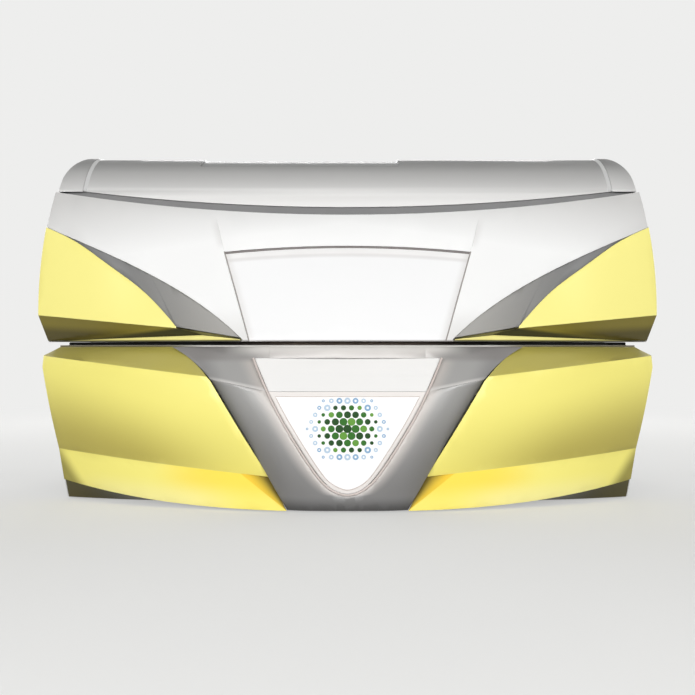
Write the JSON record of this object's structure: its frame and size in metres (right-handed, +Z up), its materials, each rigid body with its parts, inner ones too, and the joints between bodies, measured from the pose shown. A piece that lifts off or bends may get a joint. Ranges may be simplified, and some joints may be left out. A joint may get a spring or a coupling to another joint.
{
  "type": "tanning bed",
  "caption": "Closed clamshell tanning bed: lamp bench and hinged lamp canopy, with yellow side covers, a silver front surround and a white visor.",
  "frame": {"origin": "on the floor, under the middle of the closed bed's bounding box", "axes": "+Z up, -Y towards the user who steps in, +X along the lamps to the right-hand end, where the face lamps are"},
  "size_m": [2.1992, 1.134, 1.262],
  "materials": {
    "yellow_shell": "moulded, smooth sheen",
    "yellow_lip": "moulded, smooth sheen",
    "silver_shell": "metallic lacquer on moulded plastic",
    "roof_shell": "metallic lacquer on moulded plastic",
    "white_shell": "moulded, smooth sheen",
    "printed_panel": "moulded, with a printed pattern of discs",
    "bead_trim": "coloured trim",
    "dark_trim": "fine grain",
    "skirt_shell": "fine grain",
    "side_shell": "fine grain",
    "rim_shell": "fine grain",
    "frame_steel": "powder coat",
    "pin_steel": "turned",
    "foot_steel": "zinc plated",
    "screw_steel": "zinc plated",
    "strut_black": "gloss lacquer",
    "strut_chrome": "polished",
    "acrylic": "clear, slightly blue",
    "lamp_glass": "phosphor-coated tube",
    "lamp_holder": "smooth",
    "reflector": "bright rolled sheet",
    "facial_steel": "satin",
    "facial_filter": "blue filter glass",
    "burner_glass": "clear quartz",
    "fan_black": "glass-filled",
    "pan_steel": "zinc plated sheet",
    "ballast_steel": "enamel",
    "box_grey": "powder coat",
    "panel_black": "gloss foil",
    "button_green": "moulded",
    "button_white": "moulded",
    "inlet_black": "moulded"
  },
  "bodies": {
    "base": {"base_ballasts": "ballast_steel", "base_end_panel_left": "side_shell", "base_end_panel_right": "side_shell", "base_fan_housings": "fan_black", "base_floor_pan": "pan_steel", "base_frame": "frame_steel", "base_insert_bead": "bead_trim", "base_insert_panel": "printed_panel", "base_insert_top": "white_shell", "base_panel_left": "yellow_shell", "base_panel_right": "yellow_shell", "base_rear_panel": "side_shell", "base_skirts": "skirt_shell", "base_surround": "silver_shell", "base_top_rim": "rim_shell", "bench_acrylic": "acrylic", "bench_lamp_holders": "lamp_holder", "bench_lamps": "lamp_glass", "bench_reflector": "reflector", "hinge_pins": "pin_steel", "hinge_posts": "frame_steel", "levelling_feet": "foot_steel", "mains_inlet": "inlet_black", "power_box": "box_grey", "rear_screws": "screw_steel"},
    "canopy": {"canopy_frame": "frame_steel", "canopy_acrylic": "acrylic", "canopy_lamps": "lamp_glass", "canopy_lamp_holders": "lamp_holder", "canopy_reflector": "reflector", "facial_unit": "facial_steel", "facial_glass": "facial_filter", "facial_burners": "burner_glass", "canopy_fan_housing": "fan_black", "canopy_liner": "rim_shell", "canopy_visor": "white_shell", "visor_insert": "white_shell", "visor_band": "dark_trim", "canopy_fin_left": "yellow_shell", "canopy_fin_right": "yellow_shell", "canopy_lips": "yellow_lip", "canopy_wedges": "silver_shell", "canopy_end_panel_left": "side_shell", "canopy_end_panel_right": "side_shell", "roof_cap_left": "roof_shell", "roof_cap_right": "roof_shell", "canopy_rear_cover": "side_shell", "roof_cover": "roof_shell", "roof_grille": "dark_trim", "control_panel": "panel_black"},
    "strut_cylinder_left": {"strut_cylinder_left": "strut_black"},
    "strut_cylinder_right": {"strut_cylinder_right": "strut_black"},
    "strut_rod_left": {"strut_rod_left": "strut_chrome"},
    "strut_rod_right": {"strut_rod_right": "strut_chrome"},
    "base_fan_left": {"base_fan_rotor_left": "fan_black"},
    "base_fan_right": {"base_fan_rotor_right": "fan_black"},
    "canopy_fan": {"canopy_fan_rotor": "fan_black"},
    "start_button": {"start_button": "button_green"},
    "face_button": {"face_button": "button_white"},
    "fan_button": {"fan_button": "button_white"}
  },
  "joints": [
    {"name": "canopy_lift", "type": "hinge", "parent": "base", "child": "canopy", "pos_m": [0, 0.525, 0.6], "axis": [-1, 0, 0], "range_deg": [0, 45]},
    {"name": "strut_tilt_left", "type": "hinge", "parent": "base", "child": "strut_cylinder_left", "pos_m": [-0.985, 0.466, 0.327], "axis": [-1, 0, 0], "range_deg": [0, 9.6]},
    {"name": "strut_stroke_left", "type": "slide", "parent": "strut_cylinder_left", "child": "strut_rod_left", "axis": [0, -0.279, 0.9603], "range_m": [0, 0.0905]},
    {"name": "strut_tilt_right", "type": "hinge", "parent": "base", "child": "strut_cylinder_right", "pos_m": [0.985, 0.466, 0.327], "axis": [-1, 0, 0], "range_deg": [0, 9.6]},
    {"name": "strut_stroke_right", "type": "slide", "parent": "strut_cylinder_right", "child": "strut_rod_right", "axis": [0, -0.279, 0.9603], "range_m": [0, 0.0905]},
    {"name": "base_fan_left_spin", "type": "hinge", "parent": "base", "child": "base_fan_left", "pos_m": [-0.42, 0.15, 0.114], "axis": [0, 0, 1], "continuous": true},
    {"name": "base_fan_right_spin", "type": "hinge", "parent": "base", "child": "base_fan_right", "pos_m": [0.42, 0.15, 0.114], "axis": [0, 0, 1], "continuous": true},
    {"name": "canopy_fan_spin", "type": "hinge", "parent": "canopy", "child": "canopy_fan", "pos_m": [-0.178, 0.1, 1.008], "axis": [0, 0, 1], "continuous": true},
    {"name": "start_button_press", "type": "slide", "parent": "canopy", "child": "start_button", "axis": [0, -1, 0], "range_m": [0, 0.0015], "stiffness_N_per_m": 600},
    {"name": "face_button_press", "type": "slide", "parent": "canopy", "child": "face_button", "axis": [0, -1, 0], "range_m": [0, 0.0015], "stiffness_N_per_m": 600},
    {"name": "fan_button_press", "type": "slide", "parent": "canopy", "child": "fan_button", "axis": [0, -1, 0], "range_m": [0, 0.0015], "stiffness_N_per_m": 600}
  ],
  "couplings": [
    {"joint": "strut_tilt_left", "follows": "canopy_lift", "ratio": 0.211},
    {"joint": "strut_stroke_left", "follows": "canopy_lift", "m_per_rad": 0.1147},
    {"joint": "strut_tilt_right", "follows": "canopy_lift", "ratio": 0.211},
    {"joint": "strut_stroke_right", "follows": "canopy_lift", "m_per_rad": 0.1147}
  ]
}
